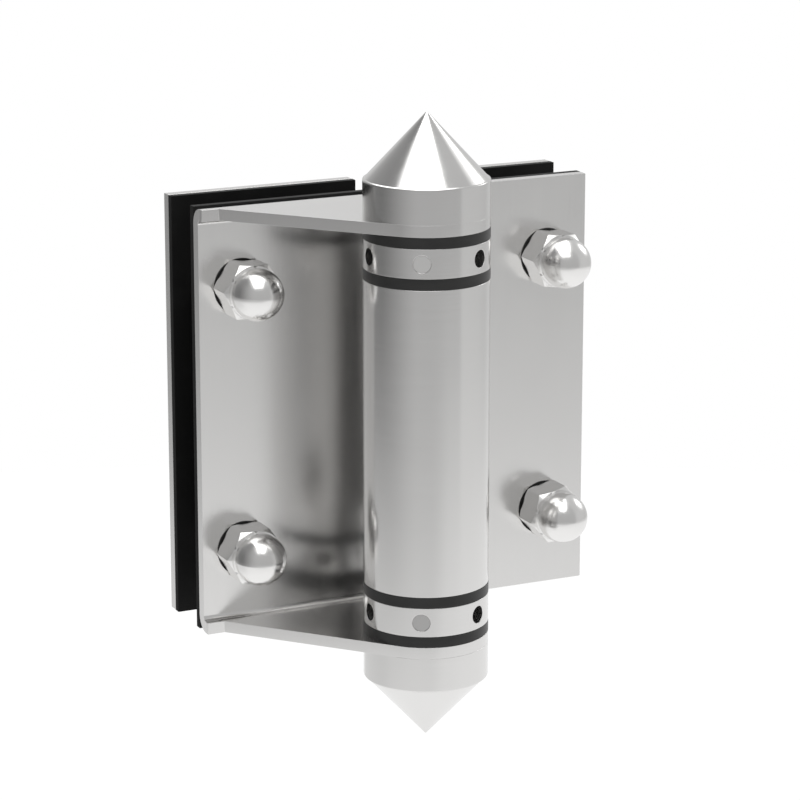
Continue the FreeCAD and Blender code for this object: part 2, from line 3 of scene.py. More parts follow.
import bmesh
import bpy
import numpy as np
from bpy.props import FloatProperty, FloatVectorProperty, PointerProperty
from mathutils import Matrix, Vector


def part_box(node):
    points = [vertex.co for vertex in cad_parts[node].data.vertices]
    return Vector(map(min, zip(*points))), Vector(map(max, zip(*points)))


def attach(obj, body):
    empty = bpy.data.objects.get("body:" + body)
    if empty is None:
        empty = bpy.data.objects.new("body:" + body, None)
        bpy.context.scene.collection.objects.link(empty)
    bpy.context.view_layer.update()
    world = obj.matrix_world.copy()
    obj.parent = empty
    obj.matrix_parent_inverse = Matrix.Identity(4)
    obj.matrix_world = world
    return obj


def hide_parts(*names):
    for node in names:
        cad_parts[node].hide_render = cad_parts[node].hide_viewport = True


bl_info = {
    "name": "Glass gate hinge dressing",
    "version": (1, 0, 0),
    "blender": (4, 5, 0),
    "location": "3D View > Sidebar > Hinge",
    "description": "Builds the finished pieces of a glass to glass gate hinge over its packed frame",
    "category": "Object",
}

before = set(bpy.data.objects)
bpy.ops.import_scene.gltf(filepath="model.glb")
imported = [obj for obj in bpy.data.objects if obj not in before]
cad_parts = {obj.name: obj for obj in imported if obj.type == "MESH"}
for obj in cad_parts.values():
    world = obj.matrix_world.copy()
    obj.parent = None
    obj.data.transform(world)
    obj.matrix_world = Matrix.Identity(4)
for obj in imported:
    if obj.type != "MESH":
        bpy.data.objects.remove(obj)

MM = 0.001


def span(node):
    """Lowest and highest corner of a frame node, in millimetres to the nearest hundredth."""
    low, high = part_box(node)
    return np.round(np.array((low, high)) / MM, 2).tolist()


TUBE_LOW, TUBE_HIGH = span("barrel_tube")
CAP_LOW, CAP_HIGH = span("top_cap")
COLLAR_LOW, COLLAR_HIGH = span("top_collar")
WASHER_LOW, WASHER_HIGH = span("top_ear_washer")
AXIS_Y = (TUBE_LOW[1] + TUBE_HIGH[1]) / 2
BARREL_R = (TUBE_HIGH[0] - TUBE_LOW[0]) / 2
BARREL_END = TUBE_HIGH[2]
RING_LOW, EAR_IN = WASHER_LOW[2], WASHER_HIGH[2]
EAR_OUT, TIP = CAP_LOW[2], CAP_HIGH[2]
HUB_END, COLLAR_TOP = COLLAR_LOW[2], COLLAR_HIGH[2]
COLLAR_FOOT = BARREL_END + (EAR_IN - RING_LOW)
PIN_TURN = math.radians(-120.0)
RIGHT, BACK, UP = np.eye(3)
AXIS = np.array([0.0, AXIS_Y, 0.0])
NUT_TURNS = {"fixed": (-4.0, 1.0), "gate": (-4.0, 12.0)}
BOLT_RISE = 32.5
SHEET = 2.8
BARREL_WALL = 3.0
SPINDLE_R = 6.0
HUB_R = 10.0
HOLE_R = 4.2 / 2
PIN_SUNK, PIN_TIP_R = 0.15, 1.6
CONE_TALL, CAP_SHOULDER = 15.6, 0.5
CAP_BORE_R, CAP_BORE_DEEP = 5.0, 7.15
NUT_FLATS, NUT_HEX, NUT_TALL, NUT_CHAMFER, DOME_R = 13.0, 7.5, 16.0, 0.9, 6.25
STUD_R, SHANK_R = 3.8, 4.0


def bolt_place(leaf):
    """Where a leaf's bolts stand across the hinge: the middle of its pair of nuts."""
    low, high = span(leaf + "_nut_washers")
    return (low[0] + high[0]) / 2


# Surfaces: points on grids, gathered into closed meshes.


def length(vectors, least=1e-12):
    return np.maximum(np.linalg.norm(vectors, axis=-1, keepdims=True), least)


def eased(corners, radii, steps=4):
    """Rows of a profile whose corners are rounded: a corner becomes points on the circle that touches both
    of its sides. corners is (rows, columns, 2), one profile a column; a side shorter than the reach of its
    circles takes a smaller circle."""
    rows = []
    count = len(corners)
    for i, radius in enumerate(radii):
        spot = corners[i]
        if radius == 0:
            rows.append(spot)
            continue
        back = corners[i - 1] - spot
        ahead = corners[(i + 1) % count] - spot
        back_len, ahead_len = length(back, 1e-9), length(ahead, 1e-9)
        back, ahead = back / back_len, ahead / ahead_len
        half = np.arccos(np.clip((back * ahead).sum(-1, keepdims=True), -0.9999, 0.9999)) / 2
        reach = np.minimum(radius / np.tan(half), 0.45 * np.minimum(back_len, ahead_len))
        fit = reach * np.tan(half)
        middle = back + ahead
        middle = middle / length(middle, 1e-9)
        centre = spot + middle * fit / np.sin(half)
        first = spot + back * reach - centre
        last = spot + ahead * reach - centre
        start = np.arctan2(first[..., 1], first[..., 0])
        swing = np.arctan2(last[..., 1], last[..., 0]) - start
        swing = (swing + np.pi) % (2 * np.pi) - np.pi
        for t in np.linspace(0.0, 1.0, steps + 1):
            angle = start + swing * t
            rows.append(centre + fit * np.stack((np.cos(angle), np.sin(angle)), -1))
    return np.stack(rows)


def profile(corners, radii, steps=4):
    """One eased profile of (radius, height) rows, shaped (rows, 1, 2)."""
    return eased(np.array(corners, float)[:, None, :], radii, steps)


def round_angles(count=160):
    return np.linspace(0.0, 2.0 * np.pi, count + 1)


def spun(rows, angles, origin, first, second, along):
    """Point = origin + radius * (cos(angle) * first + sin(angle) * second) + height * along."""
    radius, height = rows[..., 0:1], rows[..., 1:2]
    turn = np.cos(angles)[:, None] * first + np.sin(angles)[:, None] * second
    return np.asarray(origin) + radius * turn[None] + height * along


def swept(path, radius, count, outward):
    """A round bar along a path. Point = path + radius * (cos(b) * N + sin(b) * T x N), with T along the path
    and N the outward direction made square to T. Both ends are closed flat."""
    along = np.gradient(path, axis=0)
    along /= length(along)
    side = outward - (outward * along).sum(1, keepdims=True) * along
    side /= length(side)
    other = np.cross(along, side)
    b = round_angles(count)
    path, side, other = (np.concatenate((rows[:1], rows, rows[-1:])) for rows in (path, side, other))
    radius = np.concatenate(([0.0], radius, [0.0]))
    ring = np.cos(b)[None, :, None] * side[:, None] + np.sin(b)[None, :, None] * other[:, None]
    return path[:, None] + radius[:, None, None] * ring


def read(items, name, width=1, kind=np.float32):
    """One value, or a row of them, for each item of a mesh."""
    values = np.empty(len(items) * width, kind)
    items.foreach_get(name, values)
    return values.reshape(-1, width) if width > 1 else values


class Shell:
    """Grids of points, in millimetres, that together close one or more solids."""

    def __init__(self):
        self.points = []
        self.faces = []
        self.known = []
        self.count = 0

    def grid(self, points, known=None):
        """Adds a grid of points. known holds the true normals where the formula gives them."""
        rows, columns = points.shape[:2]
        index = np.arange(rows * columns).reshape(rows, columns) + self.count
        quads = np.stack((index[:-1, :-1], index[:-1, 1:], index[1:, 1:], index[1:, :-1]), -1)
        self.points.append(points.reshape(-1, 3))
        self.known.append((np.zeros_like(points) if known is None else known).reshape(-1, 3))
        self.faces.append(quads.reshape(-1, 4))
        self.count += rows * columns

    def over(self):
        """The same shell turned over, for the hinge's lower end."""
        other = Shell()
        flip = np.array([1.0, 1.0, -1.0])
        other.points = [points * flip for points in self.points]
        other.known = [known * flip for known in self.known]
        other.faces = self.faces
        return other

    def mesh(self, name):
        """The grids as one mesh: seams and poles merged, faces outward, and each point's normal the mean of
        its faces' normals weighted by their area squared, so that flats stay flat beside small rounds."""
        raw = bpy.data.meshes.new(name)
        points = np.concatenate(self.points) * MM
        faces = np.concatenate(self.faces)
        raw.from_pydata(points.tolist(), [], faces.tolist())
        store = raw.attributes.new("known", "FLOAT_VECTOR", "POINT")
        store.data.foreach_set("vector", np.concatenate(self.known).astype(np.float32).ravel())
        work = bmesh.new()
        work.from_mesh(raw)
        bmesh.ops.remove_doubles(work, verts=work.verts, dist=2e-6)
        bmesh.ops.dissolve_degenerate(work, edges=work.edges, dist=1e-7)
        bmesh.ops.recalc_face_normals(work, faces=work.faces)
        work.to_mesh(raw)
        work.free()
        raw.polygons.foreach_set("use_smooth", np.ones(len(raw.polygons), bool))
        corner = read(raw.loops, "vertex_index", kind=np.int32)
        sides = read(raw.polygons, "loop_total", kind=np.int32)
        area = read(raw.polygons, "area")
        weight = (area.astype(float) / area.mean()) ** 2
        share = np.repeat(read(raw.polygons, "normal", 3) * weight[:, None], sides, axis=0)
        normals = np.stack([np.bincount(corner, share[:, axis], len(raw.vertices)) for axis in range(3)], -1)
        given = read(raw.attributes["known"].data, "vector", 3)
        sure = np.linalg.norm(given, axis=1) > 0.5
        sign = np.sign((given * normals).sum(1))
        normals[sure] = (given * sign[:, None])[sure]
        normals /= length(normals)
        raw.attributes.remove(raw.attributes["known"])
        raw.normals_split_custom_set_from_vertices(normals.tolist())
        return raw


def placed(name, data):
    """A new object in the scene."""
    made = bpy.data.objects.new(name, data)
    bpy.context.scene.collection.objects.link(made)
    return made


def new_piece(shell, name, body, slot, material, *nodes):
    """The shell as an object that rides on a body and stands for the frame nodes."""
    piece = placed(name, shell.mesh(name))
    piece.data.materials.append(material)
    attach(piece, body)
    if nodes:
        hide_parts(*nodes)
    return piece


def turned(rows, count=192):
    """A shell of (radius, height) rows turned about the barrel's axis."""
    shell = Shell()
    shell.grid(spun(rows, round_angles(count), AXIS, RIGHT, BACK, UP))
    return shell


def closed(corners, radii, steps=4):
    """A profile that ends where it starts."""
    rows = profile(corners, radii, steps)
    return np.concatenate((rows, rows[:1]))


def both_ends(shell):
    return ("top", shell), ("bottom", shell.over())


def barrel_shell(ease):
    """Plain tube with broken edges."""
    inner, end = BARREL_R - BARREL_WALL, BARREL_END
    corners = [(BARREL_R, -end), (BARREL_R, end), (inner, end), (inner, -end)]
    return turned(closed(corners, [ease, ease, 0.1, 0.1]))


def cap_shell():
    """Round shank, small quarter-round shoulder and a straight cone to a blunted point, bored from below."""
    foot = TIP - CONE_TALL
    cone_r = BARREL_R - CAP_SHOULDER
    deep = EAR_OUT + CAP_BORE_DEEP
    bore = [(0.0, deep), (CAP_BORE_R, deep), (CAP_BORE_R, EAR_OUT), (BARREL_R, EAR_OUT), (BARREL_R, foot)]
    rows = profile(bore, [0, 0.2, 0.2, 0.03, 0], 3)[:-1]
    t = np.linspace(0.0, np.pi / 4, 7)
    ledge = foot - CAP_SHOULDER
    round_off = np.stack((cone_r + CAP_SHOULDER * np.cos(t), ledge + CAP_SHOULDER * np.sin(t)), -1)
    cone = [(cone_r + 1.0, foot - 1.0), (cone_r, foot), (0.0, TIP), (-cone_r, foot)]
    cone = profile(cone, [0, 0.2, 0.35, 0], 6)[1:-1]
    cone = cone[cone[:, 0, 0] > 1e-6]
    end = np.array([[[0.0, cone[-1, 0, 1]]]])
    return turned(np.concatenate((rows, round_off[:, None], cone[1:], end)))


def bush_shell(ease):
    """Flanged sleeve: the flange shows as a ring at the barrel's end, the sleeve lines the bore."""
    bore, sleeve, sleeve_end = HUB_R + 0.05, BARREL_R - BARREL_WALL, BARREL_END - 10.0
    corners = [
        (bore, sleeve_end), (sleeve, sleeve_end), (sleeve, BARREL_END),
        (BARREL_R, BARREL_END), (BARREL_R, COLLAR_FOOT), (bore, COLLAR_FOOT),
    ]
    return turned(closed(corners, [0.2, 0.2, 0.05, ease, ease, 0.2], 3), 160)


def washer_shell(ease):
    """Flat ring between collar and ear."""
    bore = SPINDLE_R + 0.15
    corners = [(bore, RING_LOW), (BARREL_R, RING_LOW), (BARREL_R, EAR_IN), (bore, EAR_IN)]
    return turned(closed(corners, [0.1, ease, ease, 0.1], 3), 160)


SIDE_STEPS, END_STEPS = 12, 30


def rectangle_rays(half_wide, half_tall):
    """Angles round a hole whose rays meet a rectangle at its corners, and where they meet it. A ray at angle
    a leaves through a side where |tan(a)| is under height / width, and through an end otherwise."""
    a0 = math.atan2(half_tall, half_wide)
    parts = [
        np.linspace(-a0, a0, SIDE_STEPS + 1)[:-1],
        np.linspace(a0, np.pi - a0, END_STEPS + 1)[:-1],
        np.linspace(np.pi - a0, np.pi + a0, SIDE_STEPS + 1)[:-1],
        np.linspace(np.pi + a0, 2 * np.pi - a0, END_STEPS + 1),
    ]
    a = np.concatenate(parts)
    c, s = np.cos(a), np.sin(a)
    reach = np.minimum(half_wide / np.maximum(np.abs(c), 1e-9), half_tall / np.maximum(np.abs(s), 1e-9))
    return a, np.stack((reach * c, reach * s), -1)


def spoke(turn):
    """The direction out from the axis at a turn, and the one square to it."""
    c, s = math.cos(turn), math.sin(turn)
    return np.array([c, s, 0.0]), np.array([-s, c, 0.0])


def collar_shell(ease, holes=6):
    """Collar wall in equal sectors, one bar hole each. The wall's point = mix of hole circle and sector
    rectangle, bent round the cylinder; the hole's point = its circle carried in along the radius; end bands
    follow the end profile with the rectangle's own columns, so every joint meets point for point."""
    middle = (COLLAR_FOOT + COLLAR_TOP) / 2
    half_tall = (COLLAR_TOP - COLLAR_FOOT) / 2 - ease
    bore = SPINDLE_R + 0.05
    half_turn = np.pi / holes
    a_out, rect_out = rectangle_rays(BARREL_R * half_turn, half_tall)
    a_in, rect_in = rectangle_rays(bore * half_turn, half_tall)
    high, low = middle + half_tall, middle - half_tall
    top = [(BARREL_R, high), (BARREL_R, COLLAR_TOP), (bore, COLLAR_TOP), (bore, high)]
    top = profile(top, [0, ease, ease, 0])
    foot = [(BARREL_R, low), (BARREL_R, COLLAR_FOOT), (HUB_R, COLLAR_FOOT), (HUB_R, HUB_END), (bore, HUB_END)]
    foot = profile(foot + [(bore, low)], [0, ease, 0.2, 0.3, ease, 0])
    bands = (slice(SIDE_STEPS, SIDE_STEPS + END_STEPS + 1), top), (slice(-END_STEPS - 1, None), foot)
    rim = 0.1
    shell = Shell()
    centre = AXIS + middle * UP

    def wall(radius, a, rect, hole, rows):
        """Rows from the rectangle to the hole, as (turn, height) on the cylinder."""
        t = np.linspace(0.0, 1.0, rows)[:, None, None] ** 0.8
        circle = hole * np.stack((np.cos(a), np.sin(a)), -1)
        flat = rect[None] * (1 - t) + circle[None] * t
        return flat[..., 0] / radius, flat[..., 1]

    for k in range(holes):
        radial, across = spoke(PIN_TURN + 2 * half_turn * k)

        def bent(radius, phi, height):
            c, s = np.cos(phi)[..., None], np.sin(phi)[..., None]
            normal = c * radial + s * across
            return centre + radius * normal + height[..., None] * UP, normal

        def ring(level, hole, a):
            """Points round the hole at their distances from the barrel's axis."""
            turn = np.cos(a)[:, None] * across + np.sin(a)[:, None] * UP
            return centre + (level[:, None] * radial + hole * turn)

        phi, height = wall(BARREL_R, a_out, rect_out, HOLE_R + rim, 9)
        outer, outer_normal = bent(BARREL_R, phi, height)
        phi, height = wall(bore, a_in, rect_in, HOLE_R, 4)
        inner, inner_normal = bent(bore, phi, height)
        hole_rows = []
        for q in np.linspace(0.0, np.pi / 2, 4)[1:]:
            hole = HOLE_R + rim * (1 - math.sin(q))
            level = np.sqrt(BARREL_R**2 - (hole * np.cos(a_out)) ** 2) - rim * (1 - math.cos(q))
            hole_rows.append(ring(level, hole, a_out))
        far = np.sqrt(BARREL_R**2 - (HOLE_R * np.cos(a_out)) ** 2) - rim
        near = np.sqrt(bore**2 - (HOLE_R * np.cos(a_in)) ** 2)
        for t in np.linspace(0.0, 1.0, 7)[1:-1]:
            hole_rows.append(ring(far * (1 - t) + near * t, HOLE_R, a_out * (1 - t) + a_in * t))
        points = np.concatenate((outer, np.stack(hole_rows), inner[::-1]))
        known = np.zeros_like(points)
        known[: len(outer) - 1] = outer_normal[:-1]
        known[-len(inner) + 1 :] = inner_normal[::-1][1:]
        known[0, (a_out % np.pi > 0.2)] = 0.0
        shell.grid(points, known)
        for part, rows in bands:
            phi_out = rect_out[part, 0] / BARREL_R
            phi_in = rect_in[part, 0] / bore
            share = np.clip((BARREL_R - rows[..., 0]) / (BARREL_R - bore), 0.0, 1.0)
            phi = phi_out[None] * (1 - share) + phi_in[None] * share
            c, s = np.cos(phi)[..., None], np.sin(phi)[..., None]
            shell.grid(AXIS + rows[..., 0:1] * (c * radial + s * across) + rows[..., 1:2] * UP)
    return shell


def pin_shell():
    """Flush pin: a round shank with a broken edge and a narrower tip."""
    radial, across = spoke(PIN_TURN)
    middle = (COLLAR_FOOT + COLLAR_TOP) / 2
    shank_r, face, shank_end, tip_end = HOLE_R - 0.01, BARREL_R - PIN_SUNK, SPINDLE_R + 0.15, SPINDLE_R - 0.7
    corners = [
        (0.0, face), (shank_r, face), (shank_r, shank_end),
        (PIN_TIP_R, shank_end), (PIN_TIP_R, tip_end), (0.0, tip_end),
    ]
    rows = profile(corners, [0, 0.08, 0.2, 0.05, 0.3, 0], 3)
    shell = Shell()
    shell.grid(spun(rows, round_angles(64), AXIS + middle * UP, across, UP, radial))
    return shell


def hexagon_columns(flats, ease, turn, along_flat=8, round_corner=3):
    """Angles and reach of points round a hexagon with eased corners: the inner hexagon's corner plus the
    ease along the outward direction, and even steps along each flat."""
    corner_r = (flats / 2 - ease) * 2 / math.sqrt(3)
    spots = []
    for k in range(6):
        corner = corner_r * spoke(math.radians(60 * k))[0][:2]
        theta = np.radians(np.linspace(60 * k - 30, 60 * k + 30, round_corner + 1))
        spots.append(corner + ease * np.stack((np.cos(theta), np.sin(theta)), -1))
    loop = []
    for k in range(6):
        a, b = spots[k][-1], spots[(k + 1) % 6][0]
        t = np.linspace(0.0, 1.0, along_flat + 1)[1:-1, None]
        loop += [spots[k], a * (1 - t) + b * t]
    loop = np.concatenate(loop)
    loop = np.concatenate((loop, loop[:1]))
    angle = np.unwrap(np.arctan2(loop[:, 1], loop[:, 0])) + math.radians(turn)
    return angle, np.hypot(loop[:, 0], loop[:, 1])


def stacked(corners, columns):
    """Corners (radius, height) as profiles, one for each column; a radius or height may itself be one value a
    column."""
    full = [np.stack(np.broadcast_arrays(np.asarray(r, float), np.asarray(h, float)), -1) for r, h in corners]
    return np.stack([row * np.ones((columns, 1)) for row in full])


def acorn_nut(shell, x, z, base, turn):
    """Hexagon, chamfered at both ends, and dome. At each angle the edge between flat and chamfer lies where
    the hexagon's reach meets the chamfer's cone; the dome is a ball whose foot is sunk in the hexagon."""
    angle, reach = hexagon_columns(NUT_FLATS, 0.28, turn)
    flat, corner = NUT_FLATS / 2, NUT_FLATS / math.sqrt(3)
    past_flat = np.clip((reach - flat) / (corner - flat), 0.0, 1.0)
    thread_deep = 10.0
    rise = NUT_TALL - DOME_R - NUT_HEX
    neck = math.sqrt(DOME_R**2 - rise**2)
    corners = [
        (0.0, thread_deep), (STUD_R, thread_deep), (STUD_R, 0.0), (flat - 0.08, 0.0),
        (reach, 0.04 + 0.55 * past_flat), (reach, NUT_HEX - NUT_CHAMFER * past_flat),
        (flat, NUT_HEX), (neck, NUT_HEX),
    ]
    body = eased(stacked(corners, len(angle)), [0, 0.1, 0.2, 0.02, 0.06, 0.14, 0.08, 0], 3)
    t = np.linspace(-math.asin(rise / DOME_R), np.pi / 2, 31)[1:]
    dome = stacked(list(zip(DOME_R * np.cos(t), NUT_TALL - DOME_R + DOME_R * np.sin(t))), len(angle))
    rows = np.concatenate((body, dome))
    shell.grid(spun(rows, angle, (x, base, z), RIGHT, UP, -BACK))


def clamp_bolt(shell, x, z, seat):
    """Button head with a hexagon socket, shank through the glass and a thinner end in the nut."""
    socket_flats, socket_deep = 5.0, 2.6
    angle, reach = hexagon_columns(socket_flats, 0.12, 0.0)
    head_r, head_tall, head_top, rim = 7.0, 4.4, 3.8, 0.8
    arc_middle = (head_r**2 - head_top**2 + rim**2 - head_tall**2) / (2 * (rim - head_tall))
    arc_r = math.hypot(head_r, rim - arc_middle)
    low = math.asin((rim - arc_middle) / arc_r)
    high = math.asin((head_tall - arc_middle) / arc_r)
    floor = head_tall - socket_deep
    socket = [
        (0.0, floor), (reach, floor), (reach, head_tall),
        (head_top, head_tall), (head_top + 0.6, head_tall - 0.45),
    ]
    t = np.linspace(high, low, 14)[2:]
    dome = list(zip(arc_r * np.cos(t), arc_middle + arc_r * np.sin(t)))
    neck_r, shank_end, stud_end = 4.3, -17.65, -30.65
    stem = [
        (head_r, rim), (head_r, 0.0), (neck_r, 0.0), (neck_r, -SHEET), (SHANK_R, -SHEET),
        (SHANK_R, shank_end), (STUD_R, shank_end), (STUD_R, stud_end), (0.0, stud_end),
    ]
    n = len(angle)
    rows = (
        eased(stacked(socket, n), [0, 0.15, 0.15, 0.3, 0], 3)[:-1],
        stacked(dome, n),
        eased(stacked(stem, n), [0, 0.2, 0.1, 0.1, 0.1, 0.1, 0.05, 0.4, 0], 3)[1:],
    )
    shell.grid(spun(np.concatenate(rows), angle, (x, seat, z), RIGHT, UP, BACK))


def flat_washer(shell, x, z, seat):
    """Thin ring under a nut."""
    rim, thick = 6.85, 0.45
    corners = [(SHANK_R, 0.0), (rim, 0.0), (rim, thick), (SHANK_R, thick)]
    rows = closed(corners, [0.05, 0.1, 0.1, 0.05], 3)
    shell.grid(spun(rows, round_angles(72), (x, seat, z), RIGHT, UP, -BACK))


def spring_shell():
    """Torsion spring. Unrolled, its wire is a line: up the lower tang, along the coil's slope, up the upper
    tang, with rounded turns. Rolled up, turn = length along / coil radius and height stays."""
    coil_r, low, high, turns, tang = 8.0, 5.0, 24.0, 8.0, 4.0
    run = 2 * np.pi * coil_r * turns
    corners = [(0.0, low - tang), (0.0, low), (run, high), (run, high + tang)]
    line = profile(corners, [0, 1.3, 1.3, 0], 10)[:, 0]
    step = np.concatenate(([0.0], np.cumsum(np.linalg.norm(np.diff(line, axis=0), axis=1))))
    fine = np.concatenate((step[:12], np.linspace(step[11], step[12], 420)[1:-1], step[12:]))
    along = np.stack((np.interp(fine, step, line[:, 0]), np.interp(fine, step, line[:, 1])), -1)
    turn = PIN_TURN + along[:, 0] / coil_r
    out = np.stack((np.cos(turn), np.sin(turn), np.zeros_like(turn)), -1)
    path = coil_r * out + (AXIS + along[:, 1:] * UP)
    rise = np.clip(np.minimum(along[:, 1] - low + 1.0, high + 1.0 - along[:, 1]), 0.0, 1.0)
    shell = Shell()
    shell.grid(swept(path, 0.88 + 0.12 * rise, 16, out))
    return shell


def weld_shell():
    """Fillet beads between barrel and tab, one each side. Bead radius = mean + ripple, the ripple a row of
    laid scallops: a sawtooth of the height bent into arcs."""
    tab_in, half = span("gate_plate")[0][0], 31.5
    tab_out = tab_in + SHEET
    shell = Shell()
    for x, side in ((tab_in, -1.0), (tab_out, 1.0)):
        y = AXIS_Y + math.sqrt(BARREL_R**2 - x**2)
        z = np.linspace(-half, half, 420)
        lap = (z / 1.25) % 1.0
        wander = 0.12 * np.sin(z * 0.9 + x) + 0.08 * np.sin(z * 2.3)
        path = np.stack((0 * z + x + side * 0.15, y - 0.05 + 0 * z, z), -1)
        ends = np.clip((half - np.abs(z)) / 1.1, 0.0, 1.0)
        bead = 1.15 + 0.1 * wander + 0.14 * np.sqrt(np.clip(1 - lap, 0, 1))
        radius = bead * np.sqrt(1 - (1 - ends) ** 2) + 0.02
        shell.grid(swept(path, radius, 20, np.broadcast_to(side * RIGHT, path.shape)))
    return shell


# Finishes: shader arithmetic written as Python expressions.


def maths(kind, reflected=False):
    """A method that adds a Math node of this kind, with its own wire second where it is reflected."""

    def method(self, other):
        return self.finish.math(kind, other, self) if reflected else self.finish.math(kind, self, other)

    return method


class Wire:
    """One output of a node. Arithmetic on it adds Math nodes."""

    def __init__(self, finish, socket):
        self.finish = finish
        self.socket = socket

    __add__ = __radd__ = maths("ADD")
    __sub__, __rsub__ = maths("SUBTRACT"), maths("SUBTRACT", True)
    __mul__ = __rmul__ = maths("MULTIPLY")
    __truediv__ = maths("DIVIDE")
    __gt__, __lt__ = maths("GREATER_THAN"), maths("LESS_THAN")

    def __abs__(self):
        return self.finish.math("ABSOLUTE", self)


class Finish:
    """A node tree that grows node by node."""

    def __init__(self, tree):
        self.tree = tree
        tree.nodes.clear()

    def make(self, kind, inputs=None, output=0, **settings):
        """Adds a node: its settings, a ramp's stops among them, then the values or links of its sockets."""
        node = self.tree.nodes.new("ShaderNode" + kind)
        for key, value in settings.items():
            if key == "stops":
                ramp = node.color_ramp
                while len(ramp.elements) < len(value):
                    ramp.elements.new(0.5)
                for element, (spot, colour) in zip(ramp.elements, value):
                    element.position = spot
                    element.color = colour
            else:
                setattr(node, key, value)
        for key, value in (inputs or {}).items():
            if isinstance(value, Wire):
                self.tree.links.new(value.socket, node.inputs[key])
            else:
                node.inputs[key].default_value = value
        return Wire(self, node.outputs[output]) if len(node.outputs) else None

    def math(self, kind, a, b=0.0):
        return self.make("Math", {0: a, 1: b}, operation=kind)

    def stretched(self, place, scale, location=(0.0, 0.0, 0.0)):
        return self.make("Mapping", {"Vector": place, "Scale": scale, "Location": location})

    def noise(self, place, scale=1.0, detail=3.0, rough=0.55):
        return self.make("TexNoise", {"Vector": place, "Scale": scale, "Detail": detail, "Roughness": rough})

    def blend(self, share, a, b):
        """Colour between a and b."""
        return self.make("Mix", {0: share, 6: a, 7: b}, 2, data_type="RGBA")

    def either(self, share, a, b):
        """Vector between a and b."""
        return self.make("Mix", {0: share, 4: a, 5: b}, 1, data_type="VECTOR")

    def smooth(self, value, low, high):
        """0 under low, 1 over high, and an S between."""
        ends = {0: value, 1: low, 2: high, 3: 0.0, 4: 1.0}
        return self.make("MapRange", ends, interpolation_type="SMOOTHSTEP")

    def parts(self, vector):
        """A vector's three numbers."""
        first = self.make("SeparateXYZ", {0: vector})
        return [Wire(self, number) for number in first.socket.node.outputs]

    def path(self, *kinds):
        """What kind of ray it is that asks: one wire for each of the names."""
        ray = self.make("LightPath").socket.node
        return [Wire(self, ray.outputs["Is " + kind + " Ray"]) for kind in kinds]

    def bump(self, height, distance, strength=1.0):
        return self.make("Bump", {"Strength": strength, "Distance": distance, "Height": height})

    def metal(self, colour, roughness, relief, distance):
        """Bare metal as the surface, with a relief of this distance from low to high."""
        normal = self.bump(relief, distance)
        self.painted(Base_Color=colour, Metallic=1.0, Roughness=roughness, Normal=normal)

    def surface(self, shader):
        self.make("OutputMaterial", {"Surface": shader})

    def painted(self, **sockets):
        """The principled shader as the surface, its sockets given by their names."""
        named = {key.replace("_", " "): value for key, value in sockets.items()}
        self.surface(self.make("BsdfPrincipled", named))


def new_finish(name):
    """A new material, its tree, and the wire that carries the place on the object."""
    material = bpy.data.materials.new(name)
    material.use_nodes = True
    f = Finish(material.node_tree)
    return material, f, f.make("TexCoord", output="Object")


def solid(colour, level=1.0):
    """A colour of three numbers, times a level, with its alpha."""
    return tuple(level * c for c in colour) + (1.0,)


def steel_tone(look, level):
    return solid(look.steel_tint, look.steel_level * level)


def brushed_steel(name, look, rough, depth=1.0):
    """Satin sheet: fine vertical polishing lines on upright faces, lines from front to back on level ones,
    slow patches of haze, and a few hairlines from handling. The lower ear's upward face is painted
    lighter, a painted highlight."""
    material, f, place = new_finish(name)
    facing = f.parts(f.make("TexCoord", output="Normal"))
    flat = abs(facing[2]) > 0.7

    def streaks(fine, long):
        upright, lying = f.stretched(place, (fine, fine, long)), f.stretched(place, (fine, long, fine))
        return f.either(flat, upright, lying)

    lines = f.noise(streaks(5200.0, 70.0), 1.0, 3.0, 0.6)
    wide = f.noise(streaks(900.0, 22.0))
    haze = f.noise(place, 55.0, 3.0, 0.5)
    crossing = f.noise(f.stretched(place, (240.0, 240.0, 60.0), (3.1, 0.4, 1.7)), 1.0, 1.0, 0.4)
    hairline = (1.0 - f.smooth(abs(crossing - 0.5), 0.0, 0.004)) * f.smooth(haze, 0.5, 0.62)
    x, y, height = f.parts(place)
    on_ear = 0.0 - y > 0.006
    ear_side = (abs(height) > (EAR_IN + 0.05) * MM) * on_ear * (1.0 - flat)
    # Painted highlight: the lower ear's upward face is painted lighter than the bare steel can be.
    lower_ear_painted_highlight = (abs(height + EAR_IN * MM) < 0.0003) * on_ear * flat
    share = 0.25 + lines * 0.3 + wide * 0.2 + (haze - 0.5) * 0.5
    plain = f.blend(share, steel_tone(look, 0.955), steel_tone(look, 1.03))
    cut = f.blend(ear_side * 0.9, plain, steel_tone(look, 0.885))
    colour = f.blend(lower_ear_painted_highlight * 0.9, cut, steel_tone(look, 1.17))
    roughness = rough + (lines - 0.5) * 0.07 + (haze - 0.5) * 0.06 + hairline * 0.03 - ear_side * 0.05
    relief = lines * 0.7 + wide * 0.3 - hairline * 0.12
    f.metal(colour, roughness, relief, look.grain_depth * depth)
    return material


